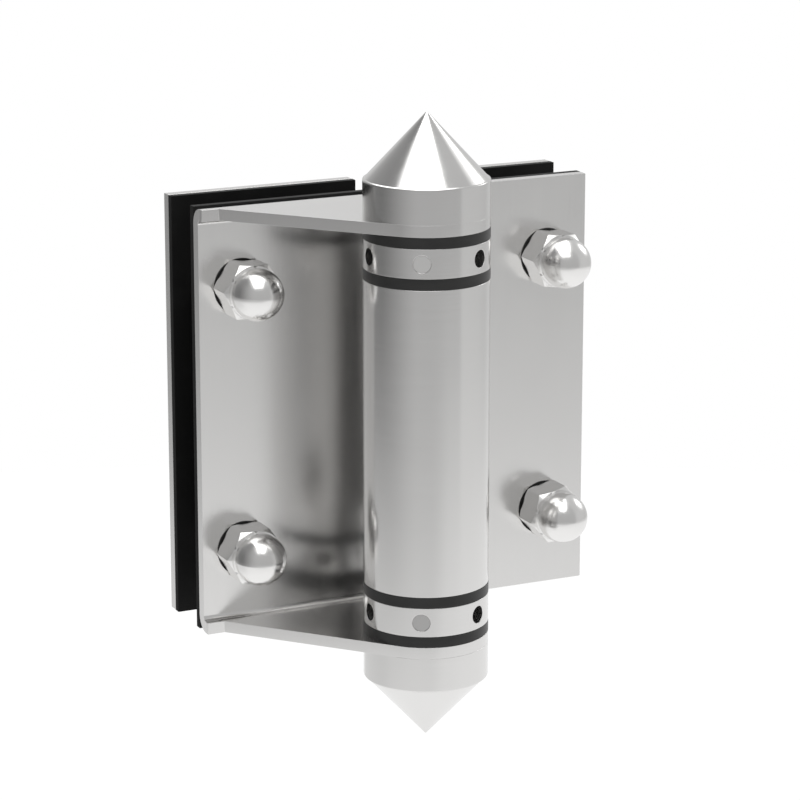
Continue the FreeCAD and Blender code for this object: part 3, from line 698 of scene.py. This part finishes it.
def turned_steel(name, look, rough, depth=1.0, level=1.0, about=(0.0, AXIS_Y * MM), along="Z", drilled=0.0):
    """Lathe-turned steel: feed rings that follow the height along the axis and the distance from it, slightly
    broken round the turn, over a slow haze. Drilled holes are rougher than the barrel's outer skin."""
    material, f, place = new_finish(name)
    shift = (-about[0], -about[1], 0.0) if along == "Z" else (-about[0], 0.0, -about[1])
    x, y, z = f.parts(f.make("VectorMath", {0: place, 1: shift}, operation="ADD"))
    axial, one, two = (z, x, y) if along == "Z" else (y, x, abs(z) - BOLT_RISE * MM)
    reach = f.math("SQRT", one * one + two * two)

    def feed(fine, round_turn, rough_steps):
        steps = {0: axial * fine + reach * fine, 1: one * round_turn, 2: two * round_turn}
        return f.noise(f.make("CombineXYZ", steps), 1.0, 2.0, rough_steps)

    rings = feed(5200.0, 90.0, 0.6)
    bands = feed(1300.0, 60.0, 0.5)
    haze = f.noise(place, 70.0, 2.0, 0.5)
    share = 0.25 + rings * 0.3 + bands * 0.2 + (haze - 0.5) * 0.4
    colour = f.blend(share, steel_tone(look, level * 0.96), steel_tone(look, level * 1.03))
    roughness = rough + (rings - 0.5) * 0.06 + (bands - 0.5) * 0.04 + (haze - 0.5) * 0.04
    if drilled:
        roughness = roughness + f.smooth(BARREL_R * MM - reach, 0.00012, 0.0003) * drilled
    f.metal(colour, roughness, rings * 0.7 + bands * 0.3, look.grain_depth * depth)
    return material


def drawn_wire(name, look):
    """Spring wire: darker oiled steel with fine die lines."""
    material, f, place = new_finish(name)
    lines = f.noise(f.stretched(place, (1500.0, 1500.0, 6000.0)), 1.0, 3.0, 0.6)
    oil = f.noise(place, 160.0, 3.0, 0.5)
    colour = f.blend(oil, (0.2, 0.19, 0.18, 1.0), (0.34, 0.33, 0.32, 1.0))
    roughness = 0.3 + (lines - 0.5) * 0.1 + oil * 0.08
    f.metal(colour, roughness, lines, look.grain_depth * 2.0)
    return material


def black_plastic(name, colour, rough, shine=0.5):
    """Moulded bearing plastic: faint flow marks, a fine matt grain and rubbed lines round the turn."""
    material, f, place = new_finish(name)
    flow = f.noise(f.stretched(place, (160.0, 160.0, 500.0)), 1.0, 3.0, 0.5)
    grain = f.noise(place, 6000.0, 2.0, 0.5)
    rub = f.noise(f.stretched(place, (120.0, 120.0, 5200.0)), 1.0, 3.0, 0.6)
    share = f.smooth(flow, 0.35, 0.7) * 0.6 + f.smooth(rub, 0.55, 0.75) * 0.4
    surface = f.blend(share, solid(colour), solid(colour, 1.6))
    roughness = rough + (rub - 0.5) * 0.12 + (flow - 0.5) * 0.08
    normal = f.bump(grain * 0.6 + rub * 0.4, 0.000004, 0.6)
    f.painted(Base_Color=surface, Roughness=roughness, Specular_IOR_Level=shine, Normal=normal)
    return material


def black_rubber(name, look):
    """Gasket rubber: matt, a fine pressed grain, slightly paler dusty patches, cut marks along the edges."""
    material, f, place = new_finish(name)
    grain = f.noise(place, 3200.0, 3.0, 0.6)
    dust = f.noise(place, 90.0, 4.0, 0.6)
    cut = f.noise(f.stretched(place, (400.0, 3600.0, 400.0)), 1.0, 2.0, 0.5)
    share = f.smooth(dust, 0.45, 0.75) * 0.6 + (grain - 0.5) * 0.4
    # The base is black rubber darkened further: painted shade of the slot between the plates.
    colour = f.blend(share, solid(look.rubber_colour_and_painted_shade), solid(look.rubber_colour_and_painted_shade, 2.2))
    roughness = look.rubber_rough + (grain - 0.5) * 0.15 + (cut - 0.5) * 0.08
    normal = f.bump(grain * 0.8 + cut * 0.5, 0.00002, 0.8)
    f.painted(Base_Color=colour, Roughness=roughness, Specular_IOR_Level=0.2, Normal=normal)
    return material


def soften(node, width):
    """Breaks a sheet part's edges by modifiers alone: weld, dissolve flats, bevel, weighted normals."""
    sharp, level = math.radians(40.0), math.radians(0.3)
    bevel = {"limit_method": "ANGLE", "angle_limit": sharp, "width": width * MM, "segments": 2}
    for name, kind, settings in (
        ("weld", "WELD", {"merge_threshold": 1e-6}),
        ("flats", "DECIMATE", {"decimate_type": "DISSOLVE", "angle_limit": level}),
        ("edge", "BEVEL", bevel),
        ("even", "WEIGHTED_NORMAL", {"keep_sharp": False, "weight": 90}),
    ):
        modifier = node.modifiers.new(name, kind)
        for key, value in settings.items():
            setattr(modifier, key, value)
    node.data.polygons.foreach_set("use_smooth", np.ones(len(node.data.polygons), bool))


def dress(node_name, material):
    """Gives a kept frame node its finish."""
    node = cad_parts[node_name]
    node.data.materials.clear()
    node.data.materials.append(material)
    return node


class HingeLook(bpy.types.PropertyGroup):
    """Finishes and edges that a user would change."""

    steel_tint: FloatVectorProperty(
        name="Steel tint", description="Colour cast of the bare stainless",
        default=(1.0, 0.992, 0.98), subtype="COLOR",
    )
    steel_level: FloatProperty(
        name="Steel level", description="How much light the bare stainless sends back",
        default=0.8, min=0.3, max=0.98,
    )
    satin_rough: FloatProperty(
        name="Satin roughness", description="Roughness of the leaves and plates",
        default=0.22, subtype="FACTOR",
    )
    barrel_rough: FloatProperty(
        name="Barrel roughness", description="Roughness of barrel, collars and caps",
        default=0.17, subtype="FACTOR",
    )
    polish_rough: FloatProperty(
        name="Nut roughness", description="Roughness of the acorn nuts", default=0.23, subtype="FACTOR"
    )
    grain_depth: FloatProperty(
        name="Grain depth", description="Depth of polishing lines and feed rings",
        default=0.0000012, unit="LENGTH",
    )
    edge_ease: FloatProperty(
        name="Edge ease", description="Radius that breaks turned edges, in millimetres",
        default=0.14, min=0.02, max=0.6,
    )
    sheet_ease: FloatProperty(
        name="Sheet edge", description="Width that breaks sheet edges, in millimetres",
        default=0.22, min=0.02, max=0.6,
    )
    # Black rubber's own colour, set darker still as painted shade of the slot between the plates.
    rubber_colour_and_painted_shade: FloatVectorProperty(
        name="Rubber", description="Colour of the gaskets", default=(0.0062, 0.0062, 0.006), subtype="COLOR"
    )
    rubber_rough: FloatProperty(
        name="Rubber roughness", description="Roughness of the gaskets", default=0.62, subtype="FACTOR"
    )
    plastic_colour: FloatVectorProperty(
        name="Bearing plastic", description="Colour of the black rings",
        default=(0.017, 0.017, 0.0165), subtype="COLOR",
    )


class HingeStudio(bpy.types.PropertyGroup):
    """Camera, light and floor."""

    eye: FloatVectorProperty(
        name="Camera place", description="Where the camera stands", default=(-0.32783, -0.7053, 0.20258),
        subtype="TRANSLATION", unit="LENGTH",
    )
    azimuth: FloatProperty(
        name="Azimuth", description="Turn of the camera round the hinge",
        default=math.radians(-25.51), subtype="ANGLE",
    )
    elevation: FloatProperty(
        name="Elevation", description="How far the camera looks down",
        default=math.radians(14.63), subtype="ANGLE",
    )
    lens: FloatProperty(
        name="Lens", description="Focal length on a 36 mm frame", default=147.33, unit="CAMERA"
    )
    front_level: FloatProperty(
        name="Front level", description="Brightness of the studio in front", default=0.5, min=0.0, max=2.0
    )
    ceiling_level: FloatProperty(
        name="Ceiling level", description="Brightness of the panel overhead", default=1.8, min=0.0, max=6.0
    )
    side_level: FloatProperty(
        name="Side level", description="Brightness of the soft light at the right",
        default=2.2, min=0.0, max=8.0,
    )
    floor_drop: FloatProperty(
        name="Floor drop", description="How far the floor lies below the hinge's middle",
        default=0.75, unit="LENGTH",
    )


class HINGE_OT_leaves(bpy.types.Operator):
    """Satin finish and broken edges on both leaves and their clamping plates"""

    bl_idname = "hinge.leaves"
    bl_label = "Leaves and clamping plates"

    def execute(self, context):
        look = context.scene.hinge_look
        for name in ("fixed_bracket", "gate_plate", "fixed_back_plate", "gate_back_plate"):
            material = brushed_steel("satin_" + name, look, look.satin_rough)
            ease = look.sheet_ease * (0.2 if name == "fixed_bracket" else 0.8)
            soften(dress(name, material), ease)
        return {"FINISHED"}


class HINGE_OT_gaskets(bpy.types.Operator):
    """Rubber finish and soft edges on the four gaskets"""

    bl_idname = "hinge.gaskets"
    bl_label = "Gaskets"

    def execute(self, context):
        material = black_rubber("gasket_rubber", context.scene.hinge_look)
        for leaf in ("fixed", "gate"):
            for side in ("front", "back"):
                soften(dress(leaf + "_" + side + "_gasket", material), 0.1)
        return {"FINISHED"}


class HINGE_OT_barrel(bpy.types.Operator):
    """Barrel tube, with the weld beads that join it to the gate leaf"""

    bl_idname = "hinge.barrel"
    bl_label = "Barrel and weld"

    def execute(self, context):
        look = context.scene.hinge_look
        material = turned_steel("ground_barrel", look, look.barrel_rough, 1.0, 0.912)
        tube = barrel_shell(look.edge_ease)
        new_piece(tube, "barrel_tube_turned", "gate_leaf", "barrel_steel", material, "barrel_tube")
        bead = brushed_steel("weld_steel", look, 0.3, 2.0)
        new_piece(weld_shell(), "weld_beads", "gate_leaf", "leaf_steel", bead)
        return {"FINISHED"}


class HINGE_OT_caps(bpy.types.Operator):
    """Pointed caps above and below the ears"""

    bl_idname = "hinge.caps"
    bl_label = "Pointed caps"

    def execute(self, context):
        look = context.scene.hinge_look
        material = turned_steel("turned_caps", look, look.barrel_rough, 1.0, 0.912)
        for part, made in both_ends(cap_shell()):
            new_piece(made, part + "_cap_turned", "fixed_leaf", "cap_steel", material, part + "_cap")
        return {"FINISHED"}


class HINGE_OT_rings(bpy.types.Operator):
    """Flanged bushes and ear washers, seen as black rings"""

    bl_idname = "hinge.rings"
    bl_label = "Bushes and ear washers"

    def execute(self, context):
        look = context.scene.hinge_look
        material = black_plastic("ring_plastic", look.plastic_colour, 0.38, 0.44)
        for (part, bush), (_, washer) in zip(both_ends(bush_shell(0.12)), both_ends(washer_shell(0.12))):
            rings = (bush, "gate_leaf", part + "_bush"), (washer, "fixed_leaf", part + "_ear_washer")
            for made, body, node in rings:
                new_piece(made, node + "_moulded", body, "bearing_plastic", material, node)
        return {"FINISHED"}


class HINGE_OT_collars(bpy.types.Operator):
    """Tension collars with their ring of bar holes"""

    bl_idname = "hinge.collars"
    bl_label = "Tension collars"

    def execute(self, context):
        look = context.scene.hinge_look
        material = turned_steel("turned_collars", look, look.barrel_rough, 1.0, 0.9, drilled=0.1)
        for part, made in both_ends(collar_shell(look.edge_ease)):
            node = part + "_collar"
            new_piece(made, node + "_turned", part + "_adjuster", "collar_steel", material, node)
        return {"FINISHED"}


class HINGE_OT_pins(bpy.types.Operator):
    """Locking pins, flush in one hole of each collar"""

    bl_idname = "hinge.pins"
    bl_label = "Locking pins"

    def execute(self, context):
        look = context.scene.hinge_look
        # Painted light: the two pins take lit and shaded copies of one steel; the lower pin's lower level is
        # painted shade.
        for (part, made), level in zip(both_ends(pin_shell()), (0.86, 0.68)):
            material = turned_steel(part + "_pin_steel_painted_light", look, 0.5, 1.5, level)
            node = part + "_lock_pin"
            new_piece(made, node + "_turned", part + "_adjuster", "pin_steel", material, node)
        return {"FINISHED"}


class HINGE_OT_nuts(bpy.types.Operator):
    """Acorn nuts and the thin washers under them"""

    bl_idname = "hinge.nuts"
    bl_label = "Acorn nuts and washers"

    def execute(self, context):
        look = context.scene.hinge_look
        rings = black_plastic("washer_plastic", (0.007, 0.007, 0.0068), 0.6, 0.2)
        for leaf in ("fixed", "gate"):
            x = bolt_place(leaf)
            line, rough = (x * MM, 0.0), look.polish_rough
            low, high = span(leaf + "_nut_washers")
            steel = turned_steel("polished_" + leaf + "_nuts", look, rough, 0.5, 1.02, line, "Y")
            nuts, washers = Shell(), Shell()
            for z, turn in zip((BOLT_RISE, -BOLT_RISE), NUT_TURNS[leaf]):
                acorn_nut(nuts, x, z, low[1], turn)
                flat_washer(washers, x, z, high[1])
            node = leaf + "_acorn_nuts"
            new_piece(nuts, node + "_polished", leaf + "_leaf", "nut_steel", steel, node)
            node = leaf + "_nut_washers"
            new_piece(washers, node + "_moulded", leaf + "_leaf", "washer_plastic", rings, node)
        return {"FINISHED"}


class HINGE_OT_bolts(bpy.types.Operator):
    """Clamping bolts with button heads at the back"""

    bl_idname = "hinge.bolts"
    bl_label = "Clamping bolts"

    def execute(self, context):
        look = context.scene.hinge_look
        for leaf in ("fixed", "gate"):
            x = bolt_place(leaf)
            steel = turned_steel("bolt_steel_" + leaf, look, 0.2, 0.8, 1.0, (x * MM, 0.0), "Y")
            seat = span(leaf + "_back_plate")[1][1]
            bolts = Shell()
            for z in (BOLT_RISE, -BOLT_RISE):
                clamp_bolt(bolts, x, z, seat)
            node = leaf + "_clamp_bolts"
            new_piece(bolts, node + "_finished", leaf + "_leaf", "bolt_steel", steel, node)
        return {"FINISHED"}


class HINGE_OT_inside(bpy.types.Operator):
    """Springs, spindles and the barrel's middle plug"""

    bl_idname = "hinge.inside"
    bl_label = "Inside parts"

    def execute(self, context):
        look = context.scene.hinge_look
        wire = drawn_wire("spring_wire", look)
        for part, made in both_ends(spring_shell()):
            new_piece(made, part + "_spring_coiled", "gate_leaf", "spring_wire", wire, part + "_spring")
        plain = turned_steel("plain_turned", look, 0.24)
        for name in ("top_spindle", "bottom_spindle"):
            dress(name, plain)
        dress("barrel_plug", plain)
        return {"FINISHED"}


def compass_way(azimuth, elevation):
    """Direction = (sin a * cos e, -cos a * cos e, sin e): azimuth 0 is the hinge's front."""
    level = math.cos(elevation)
    return np.array([math.sin(azimuth) * level, -math.cos(azimuth) * level, math.sin(elevation)])


SIDE_WAY = compass_way(math.radians(103.3), math.radians(27.0))


def turned_to(right, up, back):
    return Matrix([[*row] for row in np.stack((right, up, back), -1)]).to_4x4()


def lamp(name, place, aim, size, level, spin=0.0):
    """A soft rectangle of even brightness, turned in its own plane: power = pi * area * brightness."""
    data = bpy.data.lights.new(name, "AREA")
    data.shape = "RECTANGLE"
    data.size, data.size_y = size
    data.energy = math.pi * size[0] * size[1] * level
    light = placed(name, data)
    place, aim = np.array(place, float), np.array(aim, float)
    back = place - aim
    back /= np.linalg.norm(back)
    helper = UP if abs(back[2]) < 0.9 else BACK
    right = np.cross(helper, back)
    right /= np.linalg.norm(right)
    up = np.cross(back, right)
    right, up = right * math.cos(spin) - up * math.sin(spin), right * math.sin(spin) + up * math.cos(spin)
    light.matrix_world = Matrix.Translation(place.tolist()) @ turned_to(right, up, back)
    light.visible_camera = False
    return light


class HINGE_OT_studio(bpy.types.Operator):
    """Camera at the photograph's angle, soft lamps, pale surroundings and a pale floor"""

    bl_idname = "hinge.studio"
    bl_label = "Studio"

    def execute(self, context):
        studio = context.scene.hinge_studio
        self.camera(context, studio)
        self.surroundings(context, studio)
        self.floor(studio)
        x, y, high, spin = -0.02, 0.06, 0.45, math.radians(18.0)
        lamp("ceiling_panel", (x, y, high), (x, y, 0.0), (0.39, 1.1), studio.ceiling_level, spin)
        lamp("side_softbox", 1.5 * SIDE_WAY, (0.0, 0.0, 0.0), (0.48, 0.48), studio.side_level)
        return {"FINISHED"}

    def camera(self, context, studio):
        data = bpy.data.cameras.new("camera")
        data.lens = studio.lens
        data.sensor_width = 36.0
        data.clip_start, data.clip_end = 0.05, 50.0
        camera = placed("camera", data)
        back = compass_way(studio.azimuth, studio.elevation)
        right = spoke(studio.azimuth)[0]
        camera.matrix_world = Matrix.Translation(studio.eye) @ turned_to(right, np.cross(back, right), back)
        context.scene.camera = camera

    def level(self, f, way, studio):
        """Brightness towards a direction: walls by compass direction and flatter high up, a lit floor that
        fades in below, sooner on the right than on the left, and a soft halo round the light at the right."""
        x, y, z = f.parts(way)
        compass = f.math("ARCTAN2", x, 0.0 - y)
        levels = (
            (-180, 0.58), (-173, 0.46), (-158, 0.3), (-140, 0.21), (-112, 0.18), (-99, 0.23), (-79, 0.34),
            (-60, 0.44), (-45, 0.5), (36, 0.5), (41, 0.65), (80, 0.64), (103, 0.6), (118, 0.66), (140, 0.68),
            (155, 0.685), (176, 0.68), (180, 0.6),
        )
        stops = [((a + 180) / 360, (v, v, v, 1.0)) for a, v in levels]
        walls = f.make("ValToRGB", {0: compass * (0.5 / math.pi) + 0.5}, stops=stops)
        high = f.smooth(z, math.sin(math.radians(8.0)), math.sin(math.radians(40.0)))
        walls = (walls + (0.5 - walls) * high * 0.25) * (studio.front_level * 2.0)
        left = 1.0 - f.smooth(compass, -2.0, -1.3)
        full = f.smooth(compass, -0.35, 0.35) * 0.082 + left * 0.062 - 0.407
        top = -0.215
        share = f.smooth((z - full) / (top - full), 0.0, 1.0)
        ground = 1.09 - f.smooth(z, -0.9, -0.4) * (left * 0.2 + 0.05)
        towards = x * SIDE_WAY[0] + y * SIDE_WAY[1] + z * SIDE_WAY[2]
        halo = f.smooth(towards, math.cos(math.radians(21.0)), math.cos(math.radians(8.0)))
        return ground * (1.0 - share) + walls * share + halo * 0.65

    def surroundings(self, context, studio):
        """The same level all round as the floor's, and white to the camera."""
        world = bpy.data.worlds.new("studio")
        context.scene.world = world
        world.use_nodes = True
        f = Finish(world.node_tree)
        way = f.make("TexCoord", output="Generated")
        (seen,) = f.path("Camera")
        strength = seen + (1.0 - seen) * self.level(f, way, studio)
        shade = f.make("Background", {"Color": (1.0, 1.0, 1.0, 1.0), "Strength": strength})
        f.make("OutputWorld", {"Surface": shade})

    def floor(self, studio):
        """A pale round floor: radius and turn make the grid, and its rim meets the white surroundings."""
        shell = Shell()
        radius = np.linspace(0.0, 2600.0, 14)[:, None]
        turn = round_angles(96)[None]
        level = np.full_like(radius * turn, -studio.floor_drop / MM)
        shell.grid(np.stack((radius * np.cos(turn), radius * np.sin(turn), level), -1))
        floor = placed("floor", shell.mesh("floor"))
        material, f, place = new_finish("floor_paint")
        mottled = f.noise(place, 3.0, 3.0, 0.5)
        colour = f.blend(mottled, (0.8, 0.8, 0.8, 1.0), (0.84, 0.84, 0.84, 1.0))
        matt = {"Base Color": colour, "Roughness": 0.9, "Specular IOR Level": 0.1}
        paint = f.make("BsdfPrincipled", matt)
        camera, glossy, passing = f.path("Camera", "Glossy", "Transmission")
        way = f.make("VectorMath", {0: place}, operation="NORMALIZE")
        shown = f.either(camera > 0.5, self.level(f, way, studio), (1.07, 1.07, 1.07))
        glow = f.make("Emission", {"Color": shown, "Strength": 1.0})
        seen = f.math("MINIMUM", camera + glossy + passing, 1.0)
        f.surface(f.make("MixShader", {0: seen * 0.94, 1: paint, 2: glow}))
        floor.data.materials.append(material)


class HINGE_PT_sidebar(bpy.types.Panel):
    """Lists the hinge's pieces in the 3D view's sidebar"""

    bl_idname = "HINGE_PT_sidebar"
    bl_label = "Gate hinge"
    bl_space_type = "VIEW_3D"
    bl_region_type = "UI"
    bl_category = "Hinge"

    def draw(self, context):
        column = self.layout.column(align=True)
        for piece in OPERATORS:
            column.operator(piece.bl_idname)
        for group in (context.scene.hinge_look, context.scene.hinge_studio):
            box = self.layout.box()
            for name in group.bl_rna.properties.keys():
                if name not in ("rna_type", "name"):
                    box.prop(group, name)


OPERATORS = (
    HINGE_OT_leaves,
    HINGE_OT_gaskets,
    HINGE_OT_barrel,
    HINGE_OT_caps,
    HINGE_OT_rings,
    HINGE_OT_collars,
    HINGE_OT_pins,
    HINGE_OT_nuts,
    HINGE_OT_bolts,
    HINGE_OT_inside,
    HINGE_OT_studio,
)
CLASSES = (HingeLook, HingeStudio) + OPERATORS + (HINGE_PT_sidebar,)


def register():
    for each in CLASSES:
        bpy.utils.register_class(each)
    bpy.types.Scene.hinge_look = PointerProperty(type=HingeLook)
    bpy.types.Scene.hinge_studio = PointerProperty(type=HingeStudio)


def unregister():
    del bpy.types.Scene.hinge_look
    del bpy.types.Scene.hinge_studio
    for each in reversed(CLASSES):
        bpy.utils.unregister_class(each)


def main():
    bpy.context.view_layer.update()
    register()
    for piece in OPERATORS:
        group, name = piece.bl_idname.split(".")
        getattr(getattr(bpy.ops, group), name)()
    bpy.context.scene.view_settings.view_transform = "Standard"


if __name__ == "__main__":
    main()
